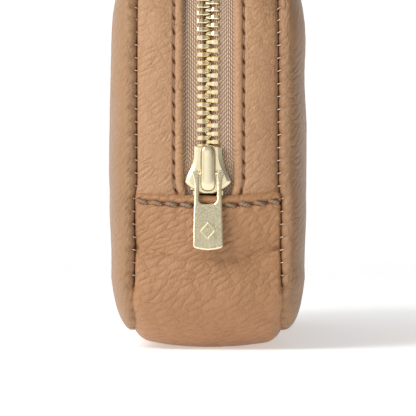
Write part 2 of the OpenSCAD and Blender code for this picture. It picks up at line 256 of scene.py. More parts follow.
def normals_of(grid):
    """Unit normals of a grid of points whose columns form closed loops."""
    down = np.gradient(grid, axis=0)
    across = np.roll(grid, -1, 1) - np.roll(grid, 1, 1)
    n = np.cross(across, down)
    return n / np.maximum(np.linalg.norm(n, axis=-1, keepdims=True), 1e-9)


def join(parts):
    """One list of vertices and one of faces from several."""
    points, faces, start = [], [], 0
    for p, f in parts:
        points.append(p)
        faces += [[i + start for i in face] for face in f]
        start += len(points[-1])
    return np.concatenate(points), faces


def angles(a, b, count):
    """Evenly spaced angles from a to b, given in degrees and returned in radians."""
    return np.radians(np.linspace(a, b, count))


def bell(x, width):
    """1 where x is 0, falling to 0 over about width either way."""
    return np.exp(-(x / width) ** 2)


def unit(vectors):
    return vectors / np.linalg.norm(vectors, axis=1, keepdims=True)


def columns(rows, *parts):
    """Arrays side by side, those of one row repeated to make rows of them."""
    return np.concatenate([np.broadcast_to(part, (rows, np.shape(part)[-1])) for part in parts], 1)


def last_columns(x, count):
    return (np.arange(x.shape[1]) >= x.shape[1] - count)[None, :]


def steps(*stops):
    """Rising positions from pairs of (position, spacing up to the next one)."""
    out = []
    for (a, spacing), (b, _) in zip(stops, stops[1:]):
        out.append(np.linspace(a, b, max(2, round((b - a) / spacing)), endpoint=False))
    return np.append(np.concatenate(out), stops[-1][0])


# Materials

class Nodes:
    """Short ways to add and link a node tree's nodes."""

    def __init__(self, tree):
        self.tree = tree

    def set(self, node, socket, value):
        key = socket if isinstance(socket, int) else socket.replace("_", " ")
        target = node.inputs[key]
        if isinstance(value, bpy.types.NodeSocket):
            self.tree.links.new(value, target)
        elif isinstance(value, (tuple, list)) and len(value) == 3 and len(target.default_value) == 4:
            target.default_value = (*value, 1)
        else:
            target.default_value = value

    def add(self, kind, inputs, out=0, **settings):
        node = self.tree.nodes.new("ShaderNode" + kind)
        for key, value in settings.items():
            setattr(node, key, value)
        for socket, value in inputs.items():
            self.set(node, socket, value)
        return node.outputs[out]

    def math(self, operation, a, b=0.0):
        return self.add("Math", {0: a, 1: b}, operation=operation)

    def times(self, a, b):
        return self.math("MULTIPLY", a, b)

    def vector(self, operation, a, b):
        second = "Scale" if operation == "SCALE" else 1
        return self.add("VectorMath", {0: a, second: b}, operation=operation)


class Shader(Nodes):
    """A Principled material and the patterns that feed it."""

    def __init__(self, name, **values):
        self.material = bpy.data.materials.new(name)
        self.material.use_nodes = True
        super().__init__(self.material.node_tree)
        self.finish(**values)

    def finish(self, **values):
        """Sets or links the shader's own sockets, and returns its material."""
        for socket, value in values.items():
            self.set(self.tree.nodes["Principled BSDF"], socket, value)
        return self.material

    def attribute(self, name):
        return self.add("Attribute", {}, out="Fac", attribute_name=name)

    def split(self, vector):
        """The outputs of a node that holds a vector's three parts."""
        parts = self.tree.nodes.new("ShaderNodeSeparateXYZ")
        self.set(parts, "Vector", vector)
        return parts.outputs

    def millimetres(self):
        """Object coordinates in millimetres."""
        return self.vector("SCALE", self.add("TexCoord", {}, out="Object"), 1 / MM)

    def noise(self, at, size, detail=2.0, rough=0.5, out=0):
        """Noise with features about size millimetres wide: output 0 is grey and 1 is coloured."""
        return self.add("TexNoise", {"Vector": at, "Scale": 1 / size, "Detail": detail,
            "Roughness": rough}, out=out)

    def warp(self, at, size, amount, detail=2.0):
        """Coordinates shifted by noise, up to about amount either way."""
        shift = self.vector("SUBTRACT", self.noise(at, size, detail, out=1), (0.5, 0.5, 0.5))
        return self.vector("ADD", at, self.vector("SCALE", shift, 2 * amount))

    def span(self, value, low, high, to_low=0.0, to_high=1.0):
        """A value mapped from low and high to to_low and to_high."""
        return self.add("MapRange", {"Value": value, "From_Min": low, "From_Max": high,
            "To_Min": to_low, "To_Max": to_high})

    def mix(self, factor, a, b):
        """A colour mix. The colour sockets of a Mix node are its inputs 6 and 7 and output 2."""
        return self.add("Mix", {0: factor, 6: a, 7: b}, out=2, data_type="RGBA")

    def bump(self, height, depth, strength=1.0, onto=None):
        """A bump of depth millimetres for a height of 1."""
        inputs = {"Height": height, "Distance": depth * MM, "Strength": strength}
        if onto is not None:
            inputs["Normal"] = onto
        return self.add("Bump", inputs)


# A dark brown painted as shade into creases, stitch holes, grooves, turned-in seam edges and the tape
# beside the teeth, where a piece's shade attribute asks for it
PAINTED_SHADE = (0.22, 0.082, 0.034)
CREASE_LEAN = math.radians(27)
# Painted shade: how dark the leather's crease lines are painted, and how much a crease adds to a
# piece's shade attribute
CREASE_LINE_SHADE = 0.12
CREASE_SHADE = 0.12
CREASE_D = 0.08
POLISH = (1.0, 0.9, 0.62)


def leather(name, colour, grain=1.0, lively=0.1, calm=0.75):
    """Soft full-grain leather: long leaning pillows between creases, pebbles, and fine pores. The
    pillows flatten from patch to patch, by lively at the least and calm at the most."""
    s = Shader(name, Specular_IOR_Level=0.4, Sheen_Weight=0.05, Sheen_Roughness=0.4,
        Sheen_Tint=(1.0, 0.9, 0.84))
    at = s.add("UVMap", {}, uv_map="skin")
    pale = tuple(1.12 * c for c in colour)
    dark = tuple(0.62 * c for c in colour)
    pillows = []
    for size, stretch, lean in ((1.6 * grain, 2.6, CREASE_LEAN), (0.9 * grain, 1.6, 1.2)):
        place = s.add("Mapping", {"Vector": s.warp(at, 4.0 * size, 0.65 * size),
            "Rotation": (0.0, 0.0, lean), "Scale": (stretch, 1.0, 1.0)}, vector_type="TEXTURE")
        edge = s.add("TexVoronoi", {"Vector": place, "Scale": 1 / size, "Randomness": 0.8},
            feature="DISTANCE_TO_EDGE", voronoi_dimensions="2D")
        pillows.append(s.math("POWER", s.span(edge, 0.0, 0.42), 0.6))
    still = s.span(s.noise(at, 8.0, 3.0), 0.35, 0.7, lively, calm)
    scales = s.math("ADD", s.times(pillows[0], s.math("SUBTRACT", 1.0, still)), still)
    pores = s.noise(at, 0.3, 3.0, 0.7)
    blotch = s.span(s.noise(at, 15.0, 4.0, 0.6), 0.3, 0.7)
    tone = s.mix(blotch, colour, pale)
    # The lines between the pillows are painted darker, as painted shade in the creases
    lines = s.math("SUBTRACT", 1.0, s.times(scales, pillows[1]))
    tone = s.mix(s.times(lines, CREASE_LINE_SHADE), tone, dark)
    tone = s.mix(s.span(pores, 0.62, 0.8, 0.0, 0.3), tone, dark)
    # Painted shade: creases, stitch holes, grooves and turned-in seam edges are darkened towards the
    # shade colour, as the shade attribute asks
    tone = s.mix(s.span(s.attribute("crease"), 0.0, 1.5, 0.0, 0.95), tone, PAINTED_SHADE)
    bump = s.bump(pillows[1], 0.08, 1.0, s.bump(scales, 0.36, 1.0))
    return s.finish(Base_Color=tone, Roughness=s.span(pores, 0.3, 0.7, 0.4, 0.54),
        Normal=s.bump(pores, 0.07, 0.8, bump))


def twill(name, colour, dark, pitch=0.62, chevron=2.9):
    """Woven tape with a herringbone of fine yarns, on the skin coordinates of its piece."""
    s = Shader(name, Roughness=0.85, Sheen_Weight=0.3, Sheen_Roughness=0.5)
    at = s.warp(s.add("UVMap", {}, uv_map="skin"), 0.6, 0.06)
    u, v, _ = s.split(at)
    zigzag = s.math("PINGPONG", s.math("ADD", u, 0.9), chevron)
    yarn = s.math("ABSOLUTE", s.math("SINE", s.times(u, math.pi / pitch)))
    slope = s.math("ADD", v, s.times(zigzag, 1.1))
    floats = s.span(s.math("SINE", s.times(slope, math.pi / pitch)), -1.0, 1.0)
    height = s.times(yarn, s.span(floats, 0.0, 1.0, 0.25, 1.0))
    fibre = s.noise(at, 0.09, 2.0)
    # The yarn floats are painted lighter and the hollows between them darker, as painted light and
    # shade on the weave, over the fibres' own tone
    tone = s.times(s.span(height, 0.05, 0.8), s.span(fibre, 0.3, 0.7, 0.75, 1.0))
    # Painted shade: the tape is darkened beside its cord, as its shade attribute asks
    tone = s.mix(s.attribute("crease"), s.mix(tone, dark, colour), PAINTED_SHADE)
    return s.finish(Base_Color=tone, Normal=s.bump(fibre, 0.03, 0.5, s.bump(height, 0.3, 0.9)))


def metal(name, colour, rough, grain=0.05, worn=(0.97, 0.86, 0.62), sparkle=0.0):
    """Plated metal with a fine satin grain, faint scratches and brighter worn patches. Where the
    mesh attribute that carries painted shade on leather and tape is 1, the metal is polished."""
    s = Shader(name, Metallic=1.0)
    at = s.millimetres()
    patches = s.span(s.noise(at, 3.5, 4.0, 0.6), 0.35, 0.7)
    tone = s.mix(patches, colour, worn)
    mottle = s.noise(at, 0.42, 2.0, 0.7)
    satin = s.span(mottle, 0.4, 0.62, 0.0, sparkle)
    tone = s.mix(satin, tone, (1.0, 0.93, 0.72))
    polish = s.attribute("crease")
    fine = s.noise(at, 0.12, 2.0)
    scratches = s.noise(s.add("Mapping", {"Vector": at, "Scale": (1.0, 1.0, 0.06)}), 0.1, 2.0)
    spread = 1 + 0.3 * grain
    satin_rough = s.span(fine, 0.3, 0.7, rough / spread, rough * spread)
    dull = s.math("SUBTRACT", 1.0, s.times(polish, 0.4))
    bump = s.bump(scratches, 0.012, grain, s.bump(fine, 0.02, grain))
    return s.finish(Base_Color=s.mix(polish, tone, POLISH),
        Roughness=s.times(satin_rough, dull),
        Normal=s.bump(mottle, 0.05, sparkle, bump))


def flecked(name, colour, dark, pattern, reach, depth, strength, **values):
    """A material whose colour and relief both follow one fine pattern, given by its node."""
    s = Shader(name, **values)
    height = pattern(s, s.millimetres())
    return s.finish(Base_Color=s.mix(s.span(height, *reach), dark, colour),
        Normal=s.bump(height, depth, strength))


def thread(name, colour, dark):
    """Bonded sewing thread with fine filaments."""
    return flecked(name, colour, dark, lambda s, at: s.noise(at, 0.07, 3.0), (0.3, 0.7), 0.03, 0.6,
        Roughness=0.6, Sheen_Weight=0.25)


def cloth(name, colour, dark, pitch=0.5):
    """Plain woven lining cloth, on object coordinates."""
    s = Shader(name, Roughness=0.9, Sheen_Weight=0.2)
    at = s.warp(s.millimetres(), 3.0, 0.15)
    waves = [s.math("SINE", s.times(part, math.pi / pitch)) for part in s.split(at)]
    weave = s.times(s.math("ADD", waves[0], waves[1]), waves[2])
    tone = s.span(weave, -1.0, 1.0)
    return s.finish(Base_Color=s.mix(tone, dark, colour), Normal=s.bump(tone, 0.12, 0.7))


panel_leather = leather("panel_leather", (0.342, 0.191, 0.095), 1.25, 0.2, 0.75)
gusset_leather = leather("gusset_leather", (0.405, 0.206, 0.094), 1.15, 0.0, 0.45)
# The strips' leather is paler and greyer than the gusset's, as a painted sheen
strip_leather = leather("strip_leather", (0.445, 0.248, 0.128), 1.1, 0.2, 0.9)
tape_cloth = twill("tape_cloth", (0.90, 0.67, 0.48), (0.26, 0.145, 0.085))
tooth_metal = metal("tooth_metal", (0.94, 0.77, 0.45), 0.2)
slider_metal = metal("slider_metal", (0.87, 0.76, 0.49), 0.2, worn=(0.9, 0.8, 0.57))
tab_metal = metal("tab_metal", (0.52, 0.46, 0.28), 0.34, 1.4, (0.68, 0.6, 0.39), 0.45)
spring_steel = metal("spring_steel", (0.6, 0.6, 0.6), 0.3)
hem_thread = thread("hem_thread", (0.47, 0.31, 0.20), (0.22, 0.125, 0.075))
top_thread = thread("top_thread", (0.44, 0.26, 0.15), (0.22, 0.12, 0.065))
seam_thread = thread("seam_thread", (0.90, 0.80, 0.68), (0.62, 0.48, 0.36))
lining_cloth = cloth("lining_cloth", (0.55, 0.42, 0.30), (0.36, 0.25, 0.17))
facing_cloth = cloth("facing_cloth", (0.50, 0.37, 0.26), (0.3, 0.2, 0.13), 0.35)
binding_cloth = cloth("binding_cloth", (0.33, 0.21, 0.13), (0.18, 0.1, 0.06), 0.4)
pad_foam = flecked("pad_foam", (0.85, 0.83, 0.76), (0.6, 0.58, 0.5),
    lambda s, at: s.add("TexVoronoi", {"Vector": at, "Scale": 1 / 0.7}), (0.0, 0.6), 0.3, 0.8,
    Roughness=0.95)
stiff_board = flecked("stiff_board", (0.26, 0.24, 0.22), (0.13, 0.12, 0.11),
    lambda s, at: s.noise(at, 0.5, 5.0, 0.7), (0.35, 0.7), 0.08, 0.6, Roughness=0.75)
# The CAD nodes that stay, by the end of their names
FINISHES = {"lock_lever": spring_steel, "base_stiffener": stiff_board,
    "foam_pad": pad_foam, "lining": lining_cloth, "zip_facing": facing_cloth,
    "seam_binding": binding_cloth}
for node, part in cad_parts.items():
    for ending, material in FINISHES.items():
        if node.endswith(ending):
            part.data.materials.clear()
            part.data.materials.append(material)


# The seams between the side panels and the band of gusset and strips

SEAM_COUNT = round(LOOP / 3.65)
SEAM_PITCH = LOOP / SEAM_COUNT
GROOVE = 0.08
STRIP_EDGE_X = SEAM_X - 0.35
GUSSET_EDGE_X = SEAM_X + 0.35


def seam_x(t):
    """Half the width between the two seams: the gusset is a little wider than the strips."""
    return GUSSET_EDGE_X + (STRIP_EDGE_X - GUSSET_EDGE_X) * smooth(height_on_end(t), 42.5, 48.5)


def seam_pull(t, width):
    """1 at each stitch of a side seam, falling to 0 between them, uneven from stitch to stitch."""
    place_in_row = np.mod(t, LOOP) / SEAM_PITCH + 0.5
    phase = place_in_row % 1 * SEAM_PITCH - SEAM_PITCH / 2
    number = np.floor(place_in_row).astype(int) % SEAM_COUNT
    force = np.random.default_rng(5).uniform(0.45, 1.0, SEAM_COUNT)[number]
    return force * bell(phase, width)


# Side panels

PANEL_D = 20.3
RING_STEP = 0.66
DOME = 2.2
ROLL_W, ROLL_D = 2.0, 1.6
SKIN_T = 1.4


def crown_level(t):
    """How far outward the panel's crown reaches at t."""
    return 1.7 - 3.2 * lowness(t)


def face_relief(side, y, z):
    """The creases and the slow swell of a side panel's skin."""
    return creases(y, z, 0.6, 40 + side), 0.3 * value_noise(y / 13, z / 13, 50 + side)


def side_panel(side):
    """A domed skin: turned in at the seam, puckered at each stitch, rolled, and crowned."""
    legs = [BASE_TURN, RISE, TOP_TURN, 2 * TOP_Y, TOP_TURN, RISE, BASE_TURN, 2 * TOP_Y]
    counts = [round(leg / RING_STEP) for leg in legs]
    stops = np.append(KNOTS[1:9], LOOP + KNOTS[1])
    t = np.concatenate([np.linspace(a, b, count, endpoint=False)
        for a, b, count in zip(stops, stops[1:], counts)])
    crown_n = crown_level(t)
    start_x = seam_x(t) + GROOVE - 1.0 * smooth(lowness(t), 0.02, 0.35)
    pull = seam_pull(t - 0.3, 0.9)
    rings = []

    def ring(x, n, skin, reach=None):
        """Keeps a ring: its x, n, distance over the skin from the seam, and share of pull."""
        if reach is None:
            reach = bell(float(np.ravel(skin)[0]) - 1.6, 2.2)
        rings.append(np.broadcast_arrays(x, n, skin, reach, t)[:4])

    ring(start_x, crown_n - 4.6, -3.4, 0.0)
    ring(start_x, crown_n - 3.2, -2.0, 0.0)
    for phi in angles(0, 84, 11):
        ring(start_x + ROLL_W * (1 - np.cos(phi)), crown_n - ROLL_D * (1 - np.sin(phi)),
            0.7 * ROLL_W * phi)
    bulge = FACE_X - start_x - ROLL_W
    for theta in np.radians(steps((3, 3), (40, 3), (90, 2.2)))[1:]:
        ring(start_x + ROLL_W + bulge * math.sin(theta),
            crown_n - PANEL_D * (1 - math.cos(theta)),
            2.4 + (PANEL_D - crown_n - 2.4) * theta / math.radians(90))
    last_n = rings[-1][1]
    for share in np.linspace(0, 1, 4)[1:]:
        n = last_n + (-CORNER_R - last_n) * share
        ring(FACE_X, n, -n, 0.0)
    xs, ns, skin, reach = (np.array(rows) for rows in zip(*rings))
    ts = np.broadcast_to(t, xs.shape)
    flat_y, flat_z = place(ts, -skin)
    points = lay(xs + dome(*place(ts, ns)) * smooth(skin, 2, 12), ts, ns)
    normal = normals_of(points)
    outward = np.sign(normal[20, 0, 0]) or 1.0
    flat = smooth(skin, 9, 14)[..., None]
    normal = normal * outward * (1 - flat) + flat * np.array([1.0, 0.0, 0.0])
    fold, swell = face_relief(side, flat_y, flat_z)
    fold = fold * smooth(skin, 0.5, 4)
    height = swell * smooth(skin, 1, 8) - CREASE_D * fold - 0.6 * reach * pull[None, :]
    height = height + 0.16 * reach * value_noise(ts / 2.2, skin / 2, 60 + side)
    points = points + normal * height[..., None]
    # The crowned face inside the last ring is a grid whose border is that ring
    count_y, count_z = counts[3], counts[1]
    number = len(rings) * len(t)
    base = number - len(t)
    start = np.cumsum([0] + counts)
    along_y, along_z = np.arange(count_y + 1), np.arange(count_z + 1)
    grid = np.full((count_z + 1, count_y + 1), -1)
    grid[:, 0] = base + start[1] + along_z
    grid[-1, :] = base + start[3] + along_y
    grid[:, -1] = (base + start[5] + along_z)[::-1]
    grid[0, :] = (base + (start[7] + along_y) % len(t))[::-1]
    gy = np.linspace(-TOP_Y, TOP_Y, count_y + 1)
    gz = np.linspace(LINE_LOW + CORNER_R, TOP_C, count_z + 1)
    yy, zz = np.meshgrid(gy[1:-1], gz[1:-1])
    grid[1:-1, 1:-1] = number + np.arange(yy.size).reshape(yy.shape)
    fold_in, swell_in = face_relief(side, yy, zz)
    inside = np.stack([FACE_X + dome(yy, zz) + swell_in - CREASE_D * fold_in, yy, zz], -1)
    numbers = np.arange(number).reshape(len(rings), len(t))
    # The back of the skin, as a few rings and a flat middle
    back = [(start_x + 1.3, crown_n - 4.6), (start_x + 1.3, crown_n - 2.2),
        (start_x + 2.6, crown_n - 1.4)]
    for theta in np.radians((35, 60, 80)):
        back.append((start_x + 1.6 + (bulge - SKIN_T) * math.sin(theta),
            crown_n - SKIN_T - (PANEL_D - SKIN_T) * (1 - math.cos(theta))))
    back_x, back_n = (np.array(rows) for rows in zip(*back))
    back_points = lay(back_x, np.broadcast_to(t, back_x.shape), back_n)
    back_numbers = number + yy.size + np.arange(back_x.size).reshape(back_x.shape)
    faces = strips_of(numbers, True) + strips_of(grid, False)
    faces += strips_of(np.stack([numbers[0], back_numbers[0]]), True)
    faces += strips_of(back_numbers, True) + [back_numbers[-1].tolist()]
    verts = np.concatenate([part.reshape(-1, 3) for part in (points, inside, back_points)])
    verts[:, 0] *= side
    # Painted shade: the creases, the puckers at each seam stitch and the skin turned in at the seam
    # are painted darker
    shade = CREASE_SHADE * fold + 0.5 * reach * pull[None, :] + 1.1 * smooth(skin, 1.7, -0.3)
    # The painted shade and the skin coordinates of every vertex
    values = [(shade, side * flat_y, flat_z), (CREASE_SHADE * fold_in, side * yy, zz),
        np.zeros((3, back_x.size))]
    values = np.concatenate([np.column_stack([np.ravel(v) for v in rows]) for rows in values])
    faces, verts, values = weld(faces, verts, values)
    skin_piece = add_pair(side, "panel_skin", "panel", (verts, faces), "panel_leather",
        panel_leather, crease=values[:, 0], uv=values.T[1:])


def dome(y, z):
    """How far the face of a side panel stands out beyond its edge, highest in the middle."""
    across = np.clip(1 - (y / (HALF_LEN - 4)) ** 2, 0, 1)
    up = np.clip(1 - ((z - LINE_TOP / 2 - 2) / (LINE_TOP / 2 - 2)) ** 2, 0, 1)
    return DOME * smooth(across * up, 0.15, 1.0)


def weld(faces, points, values):
    """Joins vertices that lie in one place, and drops the faces and corners that vanish."""
    _, first, inverse = np.unique(np.round(points, 4), axis=0, return_index=True,
        return_inverse=True)
    inverse = inverse.ravel()
    kept = []
    for face in faces:
        mapped = [int(inverse[i]) for i in face]
        thin = [v for i, v in enumerate(mapped) if v != mapped[i - 1]]
        if len(thin) > 2:
            kept.append(thin)
    return kept, points[first], values[first]


for side in HANDS:
    side_panel(side)


# The bottom gusset

EDGE_STITCH = 4.15
EDGE_ROW = 2.8
EDGE_SAG = 1.4
HEM_RISE = 1.2
GUSSET_CROWN = 2.2
FLARE = 1.3
DENT_UP, DENT_BOW = 29.6, 3.7


def hem_sag(x):
    """How far the gusset's folded edge hangs below its ends at the seams."""
    bow = 1 - (np.abs(x) / GUSSET_EDGE_X) ** 2
    return EDGE_SAG * bow - HEM_RISE + 0.8 * smooth(np.abs(x), 19.7, 20.9)


def slanted_pit(du, dv, long, wide, slant):
    """1 in the middle of a slanted oval, falling to 0 outside it."""
    a = du * math.cos(slant) + dv * math.sin(slant)
    b = dv * math.cos(slant) - du * math.sin(slant)
    return np.exp(-((a / long) ** 2 + (b / wide) ** 2) ** 1.5)


def bottom_gusset():
    """A crowned band under the pouch and up both ends, with a rolled and stitched hem."""
    length = 2 * T_EDGE
    w = steps((0, 0.1), (1.1, 0.22), (5.0, 0.4), (60, 0.55), (length - 60, 0.4),
        (length - 5.0, 0.22), (length - 1.1, 0.1), (length, 0))[:, None]
    from_edge = np.minimum(w, length - w)
    t = T_EDGE - w
    low = lowness(t)
    half = seam_x(T_EDGE - 8 + 0 * w) + FLARE * smooth(low, 0.0, 0.5)
    bottom = smooth(low, 0.0, 0.8)
    roll_w, roll_d = 0.9 + 4.6 * bottom, 1.3 + 4.4 * bottom
    mid = np.linspace(-1, 1, 76)
    phi = angles(0, 90, 13)[1:]
    roll_x, roll_drop = half - roll_w + roll_w * np.sin(phi), roll_d * (1 - np.cos(phi))
    lips = np.array([0.8, 1.8])
    inner = np.linspace(1, -1, 9)
    x = columns(len(w), -half + 0 * lips, -roll_x[:, ::-1], (half - roll_w) * mid, roll_x,
        half + 0 * lips, (half - roll_w - 0.3) * inner)
    drop = columns(len(w), roll_d + lips[::-1], roll_drop[:, ::-1], 0 * mid, roll_drop,
        roll_d + lips, 0 * inner)
    is_inner = last_columns(x, len(inner))
    off_middle = np.abs(x)
    sag = hem_sag(x) * smooth(from_edge, 16, 2)
    t = T_EDGE - w - np.where(w < T_EDGE, sag, -sag)
    up = EDGE_Z - from_edge - sag
    # The face: hem, stitch row, the soft dent under it, and the belly below the crease
    under = np.clip(1.1 - from_edge, 0, 1.1) / 1.1
    hem = 1.1 * (1 - np.sqrt(np.clip(1 - under ** 2, 0, 1)))
    groove = 0.75 * bell(from_edge - EDGE_ROW, 0.55)
    on_end = 1 - smooth(low, 0, 0.6)
    below = DENT_UP - DENT_BOW * (1 - (x / 20.5) ** 2) - up
    line = bell(below, 0.5) * on_end
    dent = 1.2 * bell(below, 3.4) + 0.5 * line
    dent = dent * (0.35 + 0.65 * smooth(off_middle, 4, 16)) * on_end
    belly = 1.2 * bell(up - 14, 9.0) * (1 - smooth(low, 0.2, 0.9))
    from_stitch = x - np.round(x / EDGE_STITCH) * EDGE_STITCH
    holes = slanted_pit(from_stitch, from_edge - EDGE_ROW, 0.75, 0.36, 0.5)
    puff = 0.14 * np.cos(2 * np.pi * x / EDGE_STITCH) * bell(from_edge - 4.4, 1.6)
    fold = creases(x, w, -0.62, 11) * smooth(from_edge, 3.4, 5.0)
    fold = fold * smooth(off_middle, 21, 18.5)
    swell = 0.2 * value_noise(x / 9, w / 9, 12) * smooth(from_edge, 3, 7)
    pull = seam_pull(t, 0.7) * bell(np.clip(half - off_middle, 0, 9), 1.2)
    pull = pull * smooth(from_edge, 0.5, 2)
    crown = GUSSET_CROWN * (off_middle / GUSSET_EDGE_X) ** 2
    n = BASE_N - crown - drop + belly - hem - groove - dent + swell - 0.19 * fold - 0.7 * holes
    n = n - puff - 0.35 * pull + 0.5 * bell(from_edge - 1.25, 0.75)
    n = np.where(is_inner, BASE_N - LEATHER_T - crown, n)
    # Painted shade: the creases, the dent's line, the stitch holes, the hem's groove, the turned-in
    # edges and the seam's puckers are painted darker
    shade = CREASE_SHADE * fold + 0.25 * line + 1.6 * holes + 0.45 * groove
    shade = np.clip(shade + smooth(drop - roll_d, -0.8, 0.2) + 0.5 * pull, 0, 1.6)
    add_piece("bottom_gusset_skin", "bottom_gusset", loft(lay(x, t, n)), "gusset_leather",
        gusset_leather, crease=np.where(is_inner, 0, shade), uv=(x, -w))


bottom_gusset()


# The zip strips

T_ZIP = T_EDGE + 0.1
ZIP_LEN = LOOP - 2 * T_ZIP
T_STOP = T_ZIP + ZIP_LEN
STRIP_COUNT = math.floor((ZIP_LEN - 2) / 4.1)
STRIP_PITCH = (ZIP_LEN - 2) / STRIP_COUNT
STITCH_IN = 2.75
UNDER_HEM = 4.0
BEAD_R = 0.78


def fold_x(side, t):
    """Where a strip's folded edge runs: the two edges draw in a little beside the slider."""
    edge = strip_low[0] + (-0.35 if side < 0 else 0.15)
    up = height_on_end(t)
    return edge - 1.2 * smooth(up, 49, 42.5) * (t < LOOP / 2)


def zip_strip(side):
    """A strip with a rolled edge beside the zip, a sewn groove, and a soft crown."""
    rows = round((ZIP_LEN + 2 * UNDER_HEM) / 0.36)
    t = np.linspace(T_ZIP - UNDER_HEM, T_STOP + UNDER_HEM, rows)[:, None]
    edge, half = fold_x(side, t), seam_x(t)
    bead = angles(-70, 90, 11)
    field = steps((BEAD_R, 0.22), (4.2, 0.4), (11.0, 0.4), (12.2, 0))[1:]
    roll = angles(0, 90, 8)[1:]
    width = half - edge
    roll_w, roll_d = 0.45, 0.6
    field_x = edge + BEAD_R + (field[None, :] - BEAD_R) * (width - BEAD_R - roll_w) / (
        field[-1] - BEAD_R)
    lips = np.array([0.8, 1.9])
    inner = np.linspace(1, 0, 6)
    x = columns(rows, edge + BEAD_R - BEAD_R * np.cos(bead), field_x,
        half - roll_w + roll_w * np.sin(roll), half + 0 * lips, edge + 0.9 + (width - 1.8) * inner)
    drop = columns(rows, BEAD_R * (1 - np.sin(bead)), 0 * field_x, roll_d * (1 - np.cos(roll)),
        roll_d + lips, 0 * inner)
    is_inner = last_columns(x, len(inner))
    inward = x - edge
    run = (t - T_ZIP - 1) / STRIP_PITCH
    phase = (run - np.round(run)) * STRIP_PITCH
    groove = 0.4 * bell(inward - STITCH_IN, 0.36)
    holes = slanted_pit(phase, inward - STITCH_IN, 0.95, 0.27, -0.42 * side)
    share = np.clip((inward - 3.2) / (width - 3.2), 0, 1)
    crown = 0.35 * np.sin(np.pi * share) ** 0.7 - (1.5 + 0.7 * side) * share ** 2
    crown = crown + 0.45 * np.sin(np.pi * np.clip(inward / STITCH_IN, 0, 1))
    puff = 0.1 * np.cos(2 * np.pi * phase / STRIP_PITCH) * bell(inward - 4.2, 1.1)
    fold = creases(side * x, t, 0.55, 21 + side, (6.5, 2.9)) * smooth(inward, 3.2, 4.6)
    swell = 0.12 * value_noise(x / 7, t / 9, 22 + side) * smooth(inward, 3.2, 6)
    ripple = 0.05 * value_noise(inward / 1.5, t / 2.2, 24 + side) * smooth(inward, 3.0, 2.0)
    pull = seam_pull(t, 0.6) * bell(np.clip(half - x, 0, 9), 0.8)
    n = STRIP_N - drop + crown - groove - 0.95 * holes - puff + swell + ripple
    n = n - 0.11 * fold - 0.22 * pull - 0.6 * smooth(height_on_end(t), 45.5, 43.0)
    n = np.where(is_inner, STRIP_N - LEATHER_T, n)
    # Painted shade: the creases, the stitch holes, the sewn groove, the turned-in edge and the seam's
    # puckers are painted darker
    shade = CREASE_SHADE * fold + 1.8 * holes + 0.9 * groove + smooth(drop, 0.7, 1.5)
    shade = np.where(is_inner, 0, np.clip(shade + 0.4 * pull, 0, 1.8))
    add_pair(side, "strip_skin", "zip_strip", loft(lay(side * x, t, n)), "strip_leather",
        strip_leather, crease=shade, uv=(side * x, t))


for side in HANDS:
    zip_strip(side)


# The zip: tapes and teeth

SPLAY = 1.9
BEAD_X = 0.95


def splay(t):
    """How far a row of teeth is parted at t, inside the slider."""
    high, low = SLIDER_Z + 10.6, SLIDER_Z + 5
    share = np.clip((high - height_on_end(t)) / (high - low), 0, 1)
    return SPLAY * share ** 1.5 * (t < LOOP / 2)


def zip_tape(side):
    """Half of the tape: a woven band with a corded edge that the teeth grip."""
    rows = round((ZIP_LEN + 12) / 0.7)
    t = np.linspace(T_ZIP - 6, T_STOP + 6, rows)[:, None]
    cord = angles(180, 20, 9)
    cord_r = 0.55
    flat = steps((0.35, 0.4), (8.0, 0))
    x = np.concatenate([cord_r + cord_r * np.cos(cord), cord_r + flat])
    n = np.concatenate([cord_r * np.sin(cord), 0.3 + 0 * flat])
    x, n = np.append(x, x[::-1]), np.append(n, -n[::-1])
    x = x[None, :] + 0 * t
    n = n[None, :] + 0.06 * value_noise(x / 3, t / 5, 31 + side)
    follow = 1 - np.clip(x / 8.5, 0, 1)
    closed = (BEAD_X - 0.06) * smooth(t, T_STOP - 5.2, T_STOP - 3.4)
    rings = lay(side * (BEAD_X - closed * follow + x + splay(t) * follow), t, n)
    # Painted shade: the tape is painted darker beside its cord, in the gap by the teeth
    add_pair(side, "tape_weave", "zip_tape", loft(rings), "zip_tape", tape_cloth,
        crease=smooth(x, 1.0, 0.4), uv=(x, t))


for side in HANDS:
    zip_tape(side)


def octagon(half, high, chamfer):
    """A section with cut corners, as (v, n) pairs."""
    a, b = half - chamfer, high - chamfer
    return [(half, -b), (half, b), (a, high), (-a, high), (-half, b), (-half, -b), (-a, -high),
        (a, -high)]


# A tooth as (x, half thickness, height, chamfer) from its outer end to its head
TOOTH_BAR = [(3.1, 0.45, 0.92, 0.2), (3.02, 0.62, 1.14, 0.2), (2.8, 0.7, 1.22, 0.19),
    (1.6, 0.7, 1.24, 0.19), (1.4, 0.68, 1.14, 0.2), (1.2, 0.66, 1.04, 0.2)]
TOOTH_HEADS = {-1: [(0.6, 0.62, 0.96, 0.24), (0.05, 0.55, 0.94, 0.32), (-0.4, 0.42, 0.88, 0.34),
    (-0.7, 0.22, 0.64, 0.18)],
    1: [(0.85, 0.54, 0.98, 0.22), (0.55, 0.62, 1.02, 0.24), (0.05, 0.54, 1.0, 0.34),
    (-0.4, 0.42, 0.92, 0.36), (-0.74, 0.2, 0.64, 0.16)]}


